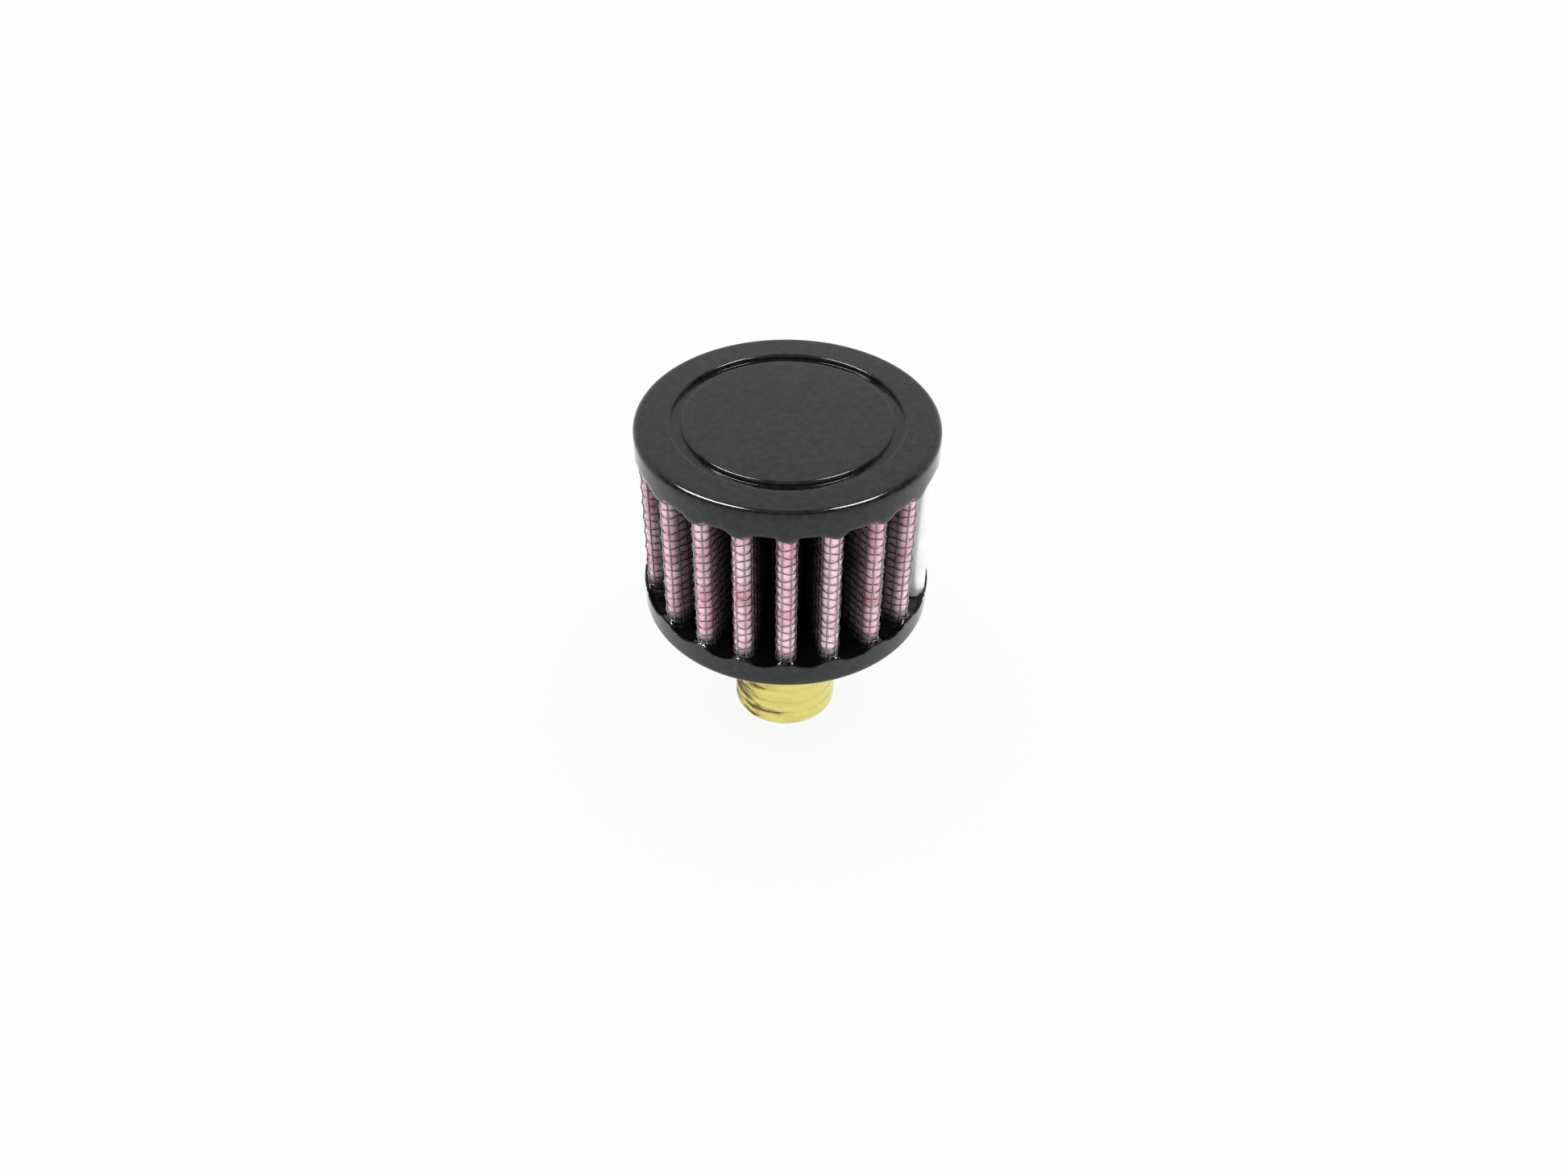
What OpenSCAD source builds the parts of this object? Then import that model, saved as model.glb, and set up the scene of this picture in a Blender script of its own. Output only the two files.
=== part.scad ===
// Crankcase breather filter: two moulded caps, a ring of pleated oiled gauze held between
// two wire screens, a folded seam clip and a turned brass spigot that a hose slides over.
// It stands on the spigot's open end at z = 0, with one pleat towards the front (-Y) and
// the seam clip on the right.

/* [Caps] */
// Outside diameter of both caps
body_d = 51; // [48:0.5:56]
// Height of the element, from the underside of the base to the top face
body_h = 37.5; // [32:0.5:50]
// Height of the top cap's rim between its lobes
top_rim_h = 4.2; // [3.2:0.1:6]
// Height of the base's rim between its lobes
base_rim_h = 4.5; // [4.2:0.1:7]
// Radius that rounds the outer edge of each cap
edge_r = 1.2; // [0.6:0.1:1.6]
// Plastic outside the tips of the pleats
cap_skin = 0.5; // [0.4:0.05:1]
// Plastic beyond the ends of the pleats
cap_cover = 1.6; // [1.4:0.1:2]
// How far the poured plastic between the pleats lies below the base's rim
pour_drop = 0.4; // [0.2:0.05:0.6]

/* [Top groove] */
// Diameter of the groove's centre line
groove_d = 37; // [30:0.5:42]
// Width of the groove
groove_w = 1.8; // [1.4:0.1:2.4]
// Depth of the groove
groove_depth = 0.9; // [0.6:0.05:1.1]
// Radius that rounds both edges of the groove
groove_edge_r = 0.4; // [0.2:0.05:0.5]

/* [Lobes where the plastic climbs the pleats] */
// How far a lobe of the top cap hangs below the rim
top_lobe_h = 0.9; // [0.8:0.1:1.6]
// How far a lobe of the base stands above the rim
base_lobe_h = 0.8; // [0.4:0.1:1.5]

/* [Pleats] */
// Number of folds round the ring, with the seam as one of them
fold_count = 19; // [17:1:21]
// Thickness of the cotton gauze
gauze_t = 0.5; // [0.4:0.05:0.6]
// Half of the free space inside a pleat
gap_inside = 0.4; // [0.3:0.05:0.5]
// Half of the free space between two pleats at their root
gap_between = 0.35; // [0.25:0.05:0.5]

/* [Wire screens] */
// Diameter of the wire, with its coating
wire_d = 0.22; // [0.18:0.01:0.25]
// Spacing of the upright wires along the folds
upright_pitch = 3.3; // [1.6:0.1:4]
// Spacing of the wires that run round the ring
round_pitch = 4.5; // [3.5:0.25:6]

/* [Seam] */
// Thickness of the clip's sheet
clip_t = 0.4; // [0.3:0.05:0.5]
// Length of the clip's straight sides
clip_side = 4.5; // [3:0.25:5]
// How far the clip stands out beyond the pleats
clip_proud = 0.15; // [0:0.05:0.2]
// Angle by which the seam leans off its place in the ring
seam_lean = 2; // [0:0.5:4]

/* [Spigot] */
// Outside diameter of the spigot
spigot_d = 19; // [16:0.5:20]
// Wall of the spigot
spigot_wall = 1.5; // [1:0.1:2.5]
// Length of the spigot below the base
spigot_len = 27; // [20:0.5:36]
// Chamfer round the outside of the open end
spigot_chamfer = 0.6; // [0.3:0.1:0.8]
// Chamfer round the inside of the open end
bore_chamfer = 0.3; // [0.1:0.05:0.4]
// Step down where the base is moulded round the spigot, which leaves a shoulder under the base
shoulder = 0.3; // [0.2:0.05:0.5]
// How far the spigot stands up inside the element, above the poured plastic
spigot_proud = 0.5; // [0:0.1:1.5]
// How far the flange inside the base reaches past the spigot
flange_lip = 1.8; // [1:0.1:2]
// Thickness of the flange
flange_t = 1.2; // [0.8:0.1:1.6]

/* [Fits] */
// Clearance between pieces that are moulded or pressed together
fit = 0.02; // [0.01:0.01:0.03]

/* [Hidden] */
$fn = 96;

// Levels
base_z = spigot_len;
top_z = base_z + body_h;
base_rim_z = base_z + base_rim_h;
top_rim_z = top_z - top_rim_h;
pour_z = base_rim_z - pour_drop;
pack_z0 = base_z + cap_cover;
pack_z1 = top_z - cap_cover;
pack_h = pack_z1 - pack_z0;

// Offsets across the pack, from the middle of the gauze: the wires that run round the
// ring lie on the gauze, and the uprights lie on those
round_wire_in = gauze_t / 2 + fit;
upright_mid = round_wire_in + wire_d + fit + wire_d / 2;
pack_half = upright_mid + wire_d / 2;

// Folds: the middle line bends round tip_r at the outside and root_r at the inside,
// with parallel straight sides between
tip_r = pack_half + gap_inside;
root_r = pack_half + gap_between;
pitch = 360 / fold_count;
pack_r = body_d / 2 - cap_skin;
tip_centre = pack_r - pack_half - tip_r;
root_centre = (tip_r + root_r) / sin(pitch / 2);
side_start = root_centre * cos(pitch / 2);
side_len = tip_centre - side_start;
root_turn = 180 - pitch;
pleat_half_w = tip_r + pack_half;
tip_steps = 6;
root_steps = 4;

// Seam: the strip's two ends lie flat together in the clip, four folds to the right of
// the front pleat
seam_angle = 4 * pitch - 90;
seam_half = pack_half + 1.5 * fit;
clip_in = seam_half + pack_half + fit;
clip_centre = pack_r + clip_proud - clip_t - clip_in;
seam_flat_start = clip_centre - clip_side;

// Spigot
spigot_r = spigot_d / 2;
bore_r = spigot_r - spigot_wall;
neck_r = spigot_r - shoulder;
flange_r = spigot_r + flange_lip;
flange_z = base_z + cap_cover;
spigot_top = pour_z + spigot_proud;

// A point turned about the axis
function turned(p, a) = [p[0] * cos(a) - p[1] * sin(a), p[0] * sin(a) + p[1] * cos(a)];

// Reverses a list
function backwards(v) = [for (i = [len(v) - 1:-1:0]) v[i]];

// Points of an arc about c
function arc(c, r, a0, turn, steps) =
    [for (i = [0:steps]) c + r * [cos(a0 + turn * i / steps), sin(a0 + turn * i / steps)]];

// Tip of the fold that points along +X, at a distance off the middle line
function tip_arc(off) = arc([tip_centre, 0], tip_r + off, -90, 180, tip_steps);

// Root that follows that tip
function root_arc(off) =
    arc(turned([root_centre, 0], pitch / 2), root_r - off, -90, -root_turn, root_steps);

// One end of the strip, from its cut edge to its first root, on the side that s gives
function seam_side(off, s) = [
    turned([clip_centre, s * (seam_half + off)], seam_lean),
    turned([seam_flat_start, s * (seam_half + off)], seam_lean),
    [side_start, s * (tip_r + off)]];

// The whole strip from cut edge to cut edge, at a distance off its middle line
function strip_line(off) = concat(
    seam_side(off, 1),
    root_arc(off),
    [for (i = [1:fold_count - 1])
        each [for (p = concat(tip_arc(off), root_arc(off))) turned(p, i * pitch)]],
    backwards(seam_side(off, -1)));

// Outline of one layer of the strip, between two distances off its middle line
module layer(off0, off1) {
    rotate(seam_angle)
        polygon(concat(strip_line(off1), backwards(strip_line(off0))));
}

// Lengths along the middle line: a cut end, and one fold from the start of its root
seam_line = seam_side(0, 1);
seam_flat_len = norm(seam_line[1] - seam_line[0]);
seam_len = seam_flat_len + norm(seam_line[2] - seam_line[1]);
root_arc_len = root_r * root_turn * PI / 180;
tip_arc_len = tip_r * PI;
fold_len = root_arc_len + tip_arc_len + 2 * side_len;
strip_len = 2 * seam_len + (fold_count - 1) * fold_len + root_arc_len;

// Place at length s into a cut end, on the side that m gives
function seam_point(s, off, m) =
    let (line = seam_side(off, m))
    s < seam_flat_len ?
        line[0] + (line[1] - line[0]) * s / seam_flat_len :
        line[1] + (line[2] - line[1]) * (s - seam_flat_len) / (seam_len - seam_flat_len);

// Place at length s into a fold: its root, side, tip and other side
function fold_point(s, off) =
    let (side = s - root_arc_len, tip = side - side_len, back = tip - tip_arc_len)
    side < 0 ?
        arc(turned([root_centre, 0], pitch / 2), root_r - off, -90 - root_turn * s / root_arc_len, 0, 1)[0] :
    tip < 0 ?
        turned([side_start + side, -tip_r - off], pitch) :
    back < 0 ?
        turned(arc([tip_centre, 0], tip_r + off, 180 * tip / tip_arc_len - 90, 0, 1)[0], pitch) :
    turned([tip_centre - back, tip_r + off], pitch);

// Place at length s along the whole strip
function strip_point(s, off) =
    let (t = s - seam_len, i = floor(t / fold_len))
    t < 0 ? seam_point(s, off, 1) :
    s > strip_len - seam_len ? seam_point(strip_len - s, off, -1) :
    turned(fold_point(t - i * fold_len, off), i * pitch);

// Uprights are evenly spaced, with the same places on every fold
uprights_per_fold = 2 * round(fold_len / upright_pitch / 2);
upright_step = fold_len / uprights_per_fold;
first_tip = seam_len + fold_len - side_len - tip_arc_len / 2;
upright_start = (first_tip + upright_step / 2) % upright_step;

// Wires of one screen, on the side of the gauze that sign gives
module screen(sign) {
    round_gaps = floor((pack_h - 2 * wire_d) / round_pitch);
    rotate(seam_angle)
        for (s = [upright_start:upright_step:strip_len - upright_start])
            translate([each strip_point(s, sign * upright_mid), pack_z0])
                cylinder(d = wire_d, h = pack_h, $fn = 16);
    for (i = [0:round_gaps])
        translate([0, 0, (pack_z0 + pack_z1 - wire_d) / 2 + (i - round_gaps / 2) * round_pitch])
            linear_extrude(wire_d)
                layer(sign * round_wire_in, sign * (round_wire_in + wire_d));
}

// Outline of the seam clip, grown from its inner face
module clip_outline(grow) {
    half_w = clip_in + grow;
    rotate(seam_angle + seam_lean) {
        translate([clip_centre, 0])
            circle(half_w);
        translate([clip_centre - clip_side, -half_w])
            square([clip_side, 2 * half_w]);
    }
}

// Room in a cap for the ends of the pack and the clip
module pack_room() {
    translate([0, 0, pack_z0 - fit]) {
        linear_extrude(pack_h + 2 * fit)
            layer(-pack_half - fit, pack_half + fit);
        linear_extrude(pack_h + 2 * fit)
            clip_outline(clip_t + fit);
    }
}

// Half profile of a disc whose upper outer edge is rounded
module disc_half(r, h) {
    square([r - edge_r, h]);
    square([r, h - edge_r]);
    translate([r - edge_r, h - edge_r])
        circle(edge_r);
}

// Lobes round a rim, with up = 1 above it and up = -1 below it: each is a round tongue
// of the rim's own radius in front of a pleat
module lobes(rim_z, lobe_h, up) {
    for (i = [0:fold_count - 1])
        intersection() {
            rotate(seam_angle + i * pitch + (i == 0 ? seam_lean : 0))
                translate([tip_centre, 0, rim_z + up * (lobe_h - pleat_half_w)])
                    rotate([0, 90, 0])
                        cylinder(r = pleat_half_w, h = pack_r);
            translate([0, 0, rim_z - pleat_half_w])
                cylinder(d = body_d, h = 2 * pleat_half_w);
        }
}

// Corner that a rounded edge takes off, with the material below and beyond it in +X
module edge_off(r) {
    difference() {
        translate([-r, -r])
            square(2 * r);
        translate([r, -r])
            circle(r);
        translate([-r, -3 * r])
            square([3 * r, 2 * r]);
    }
}

// Half section of the top groove
module groove_half() {
    translate([groove_d / 2, top_rim_h]) {
        translate([-groove_w / 2, -groove_depth])
            square([groove_w, 2 * groove_depth]);
        for (m = [0, 1])
            mirror([m, 0])
                translate([groove_w / 2, 0])
                    edge_off(groove_edge_r);
    }
}

module top_cap() {
    color("#2c2c2e")
        difference() {
            union() {
                translate([0, 0, top_rim_z])
                    rotate_extrude()
                        difference() {
                            disc_half(body_d / 2, top_rim_h);
                            groove_half();
                        }
                lobes(top_rim_z, top_lobe_h, -1);
            }
            pack_room();
        }
}

module base_cap() {
    color("#2c2c2e")
        difference() {
            union() {
                translate([0, 0, base_rim_z])
                    mirror([0, 0, 1])
                        rotate_extrude()
                            disc_half(body_d / 2, base_rim_h);
                lobes(base_rim_z, base_lobe_h, 1);
            }
            // The plastic poured between the pleats stays a little below the rim
            translate([0, 0, pour_z])
                cylinder(r = pack_r, h = base_rim_h);
            pack_room();
            // Seat that the plastic forms round the spigot and its flange
            translate([0, 0, base_z - base_rim_h])
                cylinder(r = neck_r + fit, h = 2 * body_h);
            translate([0, 0, flange_z - fit])
                cylinder(r = flange_r + fit, h = flange_t + 2 * fit);
        }
}

module gauze() {
    color("#c9868f")
        translate([0, 0, pack_z0])
            linear_extrude(pack_h)
                layer(-gauze_t / 2, gauze_t / 2);
}

module outer_screen() {
    color("#38363c")
        screen(1);
}

module inner_screen() {
    color("#38363c")
        screen(-1);
}

module seam_clip() {
    color("#d9dadb")
        translate([0, 0, pack_z0])
            linear_extrude(pack_h)
                difference() {
                    clip_outline(clip_t);
                    clip_outline(0);
                }
}

module spigot() {
    color("#c8b458")
        rotate_extrude()
            polygon([
                [bore_r + bore_chamfer, 0],
                [spigot_r - spigot_chamfer, 0],
                [spigot_r, spigot_chamfer],
                [spigot_r, base_z - fit],
                [neck_r, base_z - fit],
                [neck_r, flange_z],
                [flange_r, flange_z],
                [flange_r, flange_z + flange_t],
                [neck_r, flange_z + flange_t],
                [neck_r, spigot_top],
                [bore_r, spigot_top],
                [bore_r, bore_chamfer]]);
}

top_cap();
base_cap();
gauze();
outer_screen();
inner_screen();
seam_clip();
spigot();
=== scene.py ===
"""Crankcase breather filter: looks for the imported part.

Two black moulded caps hold a ring of pleated, oiled cotton gauze between two woven wire
screens. A folded aluminium clip closes the strip's seam, and a turned brass spigot comes
out of the base. The pleats follow one path, which the gauze, the wires and the caps share.
"""

import math

import bpy
import numpy as np
from bpy.props import FloatProperty, FloatVectorProperty, IntProperty, PointerProperty, StringProperty
from mathutils import Matrix, Vector


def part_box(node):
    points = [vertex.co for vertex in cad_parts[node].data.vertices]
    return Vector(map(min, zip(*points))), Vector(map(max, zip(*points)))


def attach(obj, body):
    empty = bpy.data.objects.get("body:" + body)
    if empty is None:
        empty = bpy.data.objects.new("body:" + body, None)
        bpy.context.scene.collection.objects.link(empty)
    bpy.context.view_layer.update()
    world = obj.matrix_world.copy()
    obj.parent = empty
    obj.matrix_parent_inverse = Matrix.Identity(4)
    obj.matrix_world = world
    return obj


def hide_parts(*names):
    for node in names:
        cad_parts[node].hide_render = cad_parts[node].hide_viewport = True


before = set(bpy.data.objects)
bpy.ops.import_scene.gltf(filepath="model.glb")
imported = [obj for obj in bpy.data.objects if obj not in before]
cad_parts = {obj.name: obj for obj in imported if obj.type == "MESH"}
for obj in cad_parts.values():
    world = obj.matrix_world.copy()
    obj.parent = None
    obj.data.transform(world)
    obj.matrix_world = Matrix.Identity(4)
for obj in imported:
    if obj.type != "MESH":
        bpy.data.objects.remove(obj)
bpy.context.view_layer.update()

bl_info = {
    "name": "Breather Filter",
    "version": (1, 0, 0),
    "blender": (4, 5, 0),
    "location": "3D View > Sidebar > Filter",
    "description": "Builds a pleated gauze breather filter with moulded caps and a brass spigot",
    "category": "Add Mesh",
}

MM = 0.001
TOP_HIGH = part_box("top_cap")[1]
BASE_LOW, BASE_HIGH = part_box("base_cap")
SPIGOT_LOW, SPIGOT_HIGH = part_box("spigot")


# Small helpers


def linear(hex_colour):
    """Linear RGBA of an sRGB colour such as #c98b2f."""
    channels = [int(hex_colour[i:i + 2], 16) / 255 for i in (1, 3, 5)]
    return [c / 12.92 if c <= 0.04045 else ((c + 0.055) / 1.055) ** 2.4 for c in channels] + [1.0]


def grey(value):
    """A grey of that linear value, as RGBA."""
    return (value, value, value, 1.0)


def set_inputs(tree, node, inputs):
    """Sets or links a node's inputs, by name or number."""
    for key, value in inputs.items():
        if isinstance(value, bpy.types.Node):
            value = value.outputs[0]
        if isinstance(value, bpy.types.NodeSocket):
            tree.links.new(value, node.inputs[key])
        else:
            node.inputs[key].default_value = value


def add_node(tree, kind, inputs=None, **settings):
    """Adds a node with its own settings, and sets or links its inputs."""
    made = tree.nodes.new(kind)
    for name, value in settings.items():
        setattr(made, name, value)
    set_inputs(tree, made, inputs or {})
    return made


def calculate(tree, operation, *values):
    """A calculation with one to three numbers."""
    return add_node(tree, "ShaderNodeMath", dict(enumerate(values)), operation=operation)


def calculate_vector(tree, operation, *values):
    """A calculation with one or two vectors."""
    return add_node(tree, "ShaderNodeVectorMath", dict(enumerate(values)), operation=operation)


def scaled(tree, vector, factor):
    """A vector or colour times a number."""
    return add_node(tree, "ShaderNodeVectorMath", {0: vector, "Scale": factor}, operation="SCALE")


def remap(tree, value, given, wanted, **settings):
    """A value spread from one range to another."""
    ranges = dict(zip(("From Min", "From Max", "To Min", "To Max"), given + wanted))
    return add_node(tree, "ShaderNodeMapRange", {"Value": value, **ranges}, **settings)


def choose(tree, share, first, second):
    """A number between two numbers."""
    return add_node(tree, "ShaderNodeMix", {0: share, 2: first, 3: second}, data_type="FLOAT").outputs[0]


def blend(tree, share, first, second):
    """A colour between two colours."""
    return add_node(tree, "ShaderNodeMix", {0: share, 6: first, 7: second}, data_type="RGBA").outputs[2]


def ramp(tree, value, *stops):
    """A colour ramp, whose stops are pairs of a position and a colour."""
    made = add_node(tree, "ShaderNodeValToRGB", {"Fac": value})
    elements = made.color_ramp.elements
    while len(elements) < len(stops):
        elements.new(0.5)
    for element, (position, colour) in zip(elements, stops):
        element.position = position
        element.color = colour
    return made


def noise(tree, where, size, detail, **more):
    """Noise whose clouds are about that size."""
    inputs = {"Vector": where, "Scale": 1 / size, "Detail": detail, **more}
    return add_node(tree, "ShaderNodeTexNoise", inputs)


def stretched(tree, where, scale):
    """Places stretched, so that what is drawn on them comes out longer where the scale is small."""
    return add_node(tree, "ShaderNodeMapping", {"Vector": where, "Scale": scale})


def relief(tree, height, strength, depth):
    """A normal bent by fine relief of that depth."""
    return add_node(tree, "ShaderNodeBump", {"Height": height, "Strength": strength, "Distance": depth})


def object_places(tree):
    """Places in the object's own coordinates, in metres."""
    return add_node(tree, "ShaderNodeTexCoord").outputs["Object"]


def new_material(name, **shader):
    """A material with one Principled shader, whose sockets take the given values."""
    material = bpy.data.materials.new(name)
    material.use_nodes = True
    tree = material.node_tree
    principled = tree.nodes["Principled BSDF"]
    for key, value in shader.items():
        principled.inputs[key.replace("_", " ")].default_value = value
    return material, tree, principled


def put_in_scene(name, data):
    """A new object of that data, linked to the scene."""
    made = bpy.data.objects.new(name, data)
    bpy.context.scene.collection.objects.link(made)
    return made


def mesh_object(name, points, faces, material):
    """A smooth-shaded mesh object at the origin."""
    mesh = bpy.data.meshes.new(name)
    mesh.from_pydata([tuple(p) for p in points], [], faces)
    mesh.update()
    mesh.polygons.foreach_set("use_smooth", [True] * len(mesh.polygons))
    mesh.materials.append(material)
    return put_in_scene(name, mesh)


def fasten(piece, node):
    """Rides the piece on the filter's one body and lets it stand for its CAD node."""
    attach(piece, "root")
    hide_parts(node)


def grid_faces(rows, columns, close_rows=False, close_columns=False):
    """Quads between neighbouring rows and columns of a grid of points."""
    faces = []
    for i in range(rows if close_rows else rows - 1):
        for j in range(columns if close_columns else columns - 1):
            a = i * columns + j
            b = i * columns + (j + 1) % columns
            c = ((i + 1) % rows) * columns + (j + 1) % columns
            d = ((i + 1) % rows) * columns + j
            faces.append((a, b, c, d))
    return faces


def turned_object(name, rings, material, loop=False):
    """A closed turned body from rings of (radius, height) at even angles.

    rings has the shape (ring, angle, 2). Each end closes on the axis, unless the rings
    themselves make a loop."""
    count, angles = rings.shape[:2]
    turn = np.arange(angles) * 2 * math.pi / angles
    points = np.stack(
        [rings[..., 0] * np.cos(turn), rings[..., 0] * np.sin(turn), rings[..., 1]], axis=-1
    ).reshape(-1, 3)
    faces = grid_faces(count, angles, close_rows=loop, close_columns=True)
    if not loop:
        low, high = len(points), len(points) + 1
        points = np.vstack([points, [0, 0, rings[0, :, 1].mean()], [0, 0, rings[-1, :, 1].mean()]])
        last = (count - 1) * angles
        for j in range(angles):
            k = (j + 1) % angles
            faces.append((low, k, j))
            faces.append((high, last + j, last + k))
    return mesh_object(name, points, faces, material)


def bend(radius_from, height_from, radius_to, height_to, corner, steps):
    """Points of a quarter bend between two places, which rounds off the given corner."""
    places = []
    for i in range(steps + 1):
        t = i / steps * math.pi / 2
        places.append((
            corner[0] + (radius_from - corner[0]) * math.cos(t) + (radius_to - corner[0]) * math.sin(t),
            corner[1] + (height_from - corner[1]) * math.cos(t) + (height_to - corner[1]) * math.sin(t),
        ))
    return places


# Sizes and colours that a user would change


def length_setting(name, description, millimetres):
    """A length, which Blender shows in the scene's unit."""
    return FloatProperty(name=name, description=description, default=millimetres * MM, unit="LENGTH")


def plain_setting(name, description, default, **more):
    """A number, with its subtype where one fits."""
    return FloatProperty(name=name, description=description, default=default, **more)


def colour_setting(name, description, default):
    """A colour as an sRGB hex value."""
    return StringProperty(name=name, description=description, default=default)


class FilterCapSettings(bpy.types.PropertyGroup):
    """Sizes and colours of the two moulded caps"""

    top_rim: length_setting("Top Rim", "Height of the top cap's rim between its lobes", 4.7)
    base_rim: length_setting("Base Rim", "Height of the base's rim between its lobes", 4.5)
    edge_radius: length_setting("Edge Radius", "Radius that rounds the caps' outer edges", 1.2)
    groove_radius: length_setting("Groove Radius", "Radius of the top groove's centre line", 18.5)
    groove_width: length_setting("Groove Width", "Width of the top groove", 1.8)
    groove_depth: length_setting("Groove Depth", "Depth of the top groove", 0.9)
    top_lobe: length_setting("Top Lobe", "How far the top cap's lobes hang down in front of the pleats", 1.1)
    base_lobe: length_setting("Base Lobe", "How far the base's rim climbs the pleats", 0.75)
    pour_drop: length_setting("Pour Drop", "Depth of the poured plastic below the base's rim", 0.5)
    climb: length_setting("Climb", "How far the poured plastic creeps up the media", 0.7)
    plastic: colour_setting("Plastic", "Colour of the moulded plastic", "#0e0e0f")


class FilterMediaSettings(bpy.types.PropertyGroup):
    """Sizes and colours of the pleated media"""

    folds: IntProperty(
        name="Folds", description="Folds round the ring, with the seam as one of them", default=19)
    reach: length_setting("Reach", "Radius that the tips of the pleats reach", 25)
    tip_radius: length_setting("Tip Radius", "Radius of the gauze's middle line at a tip", 1.13)
    root_radius: length_setting("Root Radius", "Radius of the gauze's middle line at a root", 1.08)
    pack_half: length_setting("Pack Half", "Half of the thickness of the gauze with both screens", 0.73)
    gauze_half: length_setting("Gauze Half", "Half of the gauze's thickness where a wire presses it", 0.25)
    puff: length_setting("Puff", "How far the gauze swells out between the wires", 0.2)
    upright_pitch: length_setting("Upright Pitch", "Spacing of the upright wires along the screen", 1.65)
    row_pitch: length_setting("Row Pitch", "Spacing of the wires that run round", 1.6)
    wire_radius: length_setting("Wire Radius", "Radius of a coated upright wire", 0.13)
    round_radius: length_setting("Round Radius", "Radius of a coated wire that runs round", 0.1)
    upright_wave: length_setting("Upright Wave", "How far an upright swings over and under the rows", 0.08)
    row_wave: length_setting("Row Wave", "How far a row swings over and under the uprights", 0.19)
    uneven: length_setting("Uneven", "How far the wires stray from an even weave", 0.16)
    gauze_pale: colour_setting("Pale Gauze", "Colour of the gauze where it holds little oil", "#efcbd4")
    gauze_deep: colour_setting("Deep Gauze", "Colour of the gauze where it is soaked with oil", "#c2637b")
    seed: IntProperty(name="Seed", description="Seed of what is uneven in the media", default=7)


class FilterMetalSettings(bpy.types.PropertyGroup):
    """Sizes and colours of the spigot and the seam clip"""

    spigot_radius: length_setting("Spigot Radius", "Outside radius of the spigot", 9.5)
    bore_radius: length_setting("Bore Radius", "Radius of the air way through the spigot", 8)
    chamfer: length_setting("Chamfer", "Chamfer round the spigot's open end", 0.6)
    shoulder: length_setting("Shoulder", "How much thinner the spigot is inside the base", 0.3)
    tool_mark_pitch: length_setting("Tool Marks", "Spacing of the shallow rings that the lathe tool left", 3)
    clip_thickness: length_setting("Clip Thickness", "Thickness of the seam clip's sheet", 0.4)
    clip_side: length_setting("Clip Side", "Length of the seam clip's straight sides", 4.5)
    brass: colour_setting("Brass", "Colour of the clean brass", "#e6da80")
    tarnish: colour_setting("Tarnish", "Colour of the tarnished streaks on the brass", "#6d5836")


class FilterStageSettings(bpy.types.PropertyGroup):
    """Camera and light"""

    camera_place: FloatVectorProperty(
        name="Camera", description="Place of the camera",
        default=(0.0, -0.17919, 0.18714), size=3, subtype="XYZ")
    camera_down: plain_setting("Look Down", "Angle of the view below the horizon", 0.7295, subtype="ANGLE")
    camera_turn: plain_setting(
        "Look Left", "Angle of the view to the left of the filter's axis", 0.00195, subtype="ANGLE")
    camera_roll: plain_setting("Roll", "Turn of the camera about its view", 0.0085, subtype="ANGLE")
    lens: plain_setting("Lens", "Focal length in millimetres on a 36 mm wide sensor", 30.04)
    surroundings: plain_setting("Surroundings", "Strength of the white room that the gloss shows", 0.85)
    soft_light: plain_setting("Soft Light", "Strength of the even light on the matt surfaces", 1.6)
    lamp_radiance: plain_setting(
        "Lamp Radiance", "Brightness of the two overhead lamps that the gloss shows", 50.0)


# The pleats' path


# Where the photographed filter's pleats lean away from even spacing, by fold number
# anticlockwise from the seam, in degrees at the tip. The seam's lean is the CAD part's own.
LEANS = {0: 2.0, 10: -2.0, 11: -3.5, 12: 2.3, 13: 2.6, 14: 1.5, 15: 0.3, 16: -0.7, 17: 0.0, 18: 0.0}
HIDDEN_LEAN = 1.5
SEAM_FOLDS_FROM_FRONT = 4


def rotated(vector, angle):
    """A 2D vector turned by an angle in radians."""
    c, s = math.cos(angle), math.sin(angle)
    return np.array([vector[0] * c - vector[1] * s, vector[0] * s + vector[1] * c])


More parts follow.
